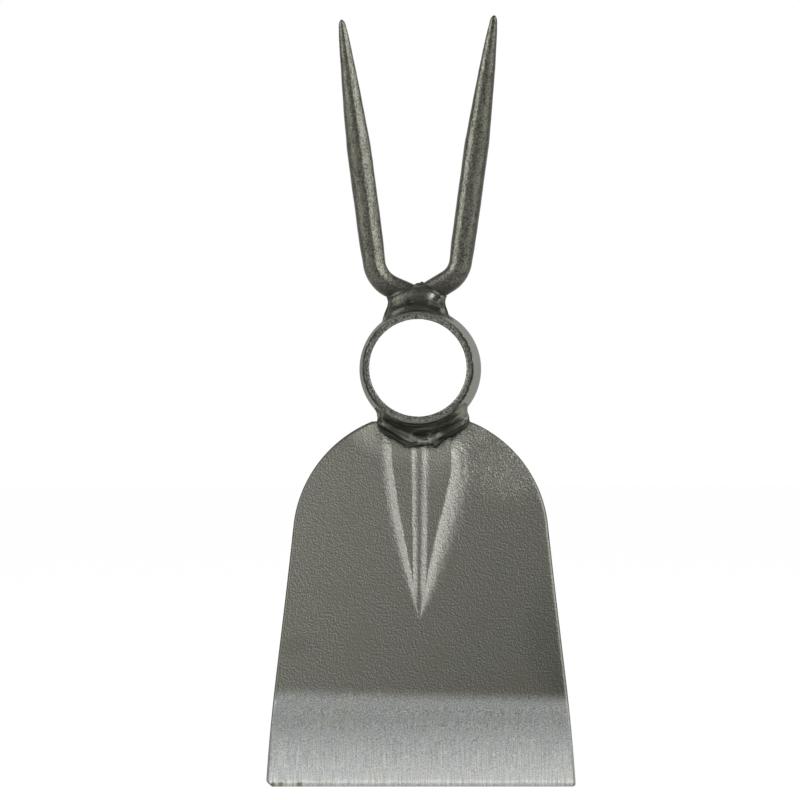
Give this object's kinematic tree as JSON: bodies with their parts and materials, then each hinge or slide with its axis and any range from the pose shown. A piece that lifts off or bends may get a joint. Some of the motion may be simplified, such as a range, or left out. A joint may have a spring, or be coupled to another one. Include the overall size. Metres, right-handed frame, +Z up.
{
  "type": "two-prong hoe head",
  "caption": "Welded steel hoe head: a flat blade with a pressed crease and ground edge, a round tapered eye for a handle, and a pair of pointed prongs above it.",
  "frame": {"origin": "centre of the eye, on its axis and halfway along it", "axes": "+Y along the eye's axis towards its wide end, away from the user; +Z up towards the prong tips; +X to the right as the user sees it"},
  "size_m": [0.0992, 0.0467, 0.2461],
  "materials": {
    "blade_steel": "grey mill scale under clear lacquer, ground bright along the cutting edge",
    "eye_steel": "smooth drawn tube with a grey scale and sheared rims",
    "prong_steel": "forged round bar with dark grey scale",
    "weld_steel": "rippled weld metal with dark scale"
  },
  "bodies": {
    "root": {"blade": "blade_steel", "eye_ring": "eye_steel", "left_prong": "prong_steel", "right_prong": "prong_steel", "prong_butt_weld": "weld_steel", "prong_weld_front": "weld_steel", "prong_weld_rear": "weld_steel", "blade_weld_front": "weld_steel", "blade_weld_rear": "weld_steel"}
  },
  "joints": []
}
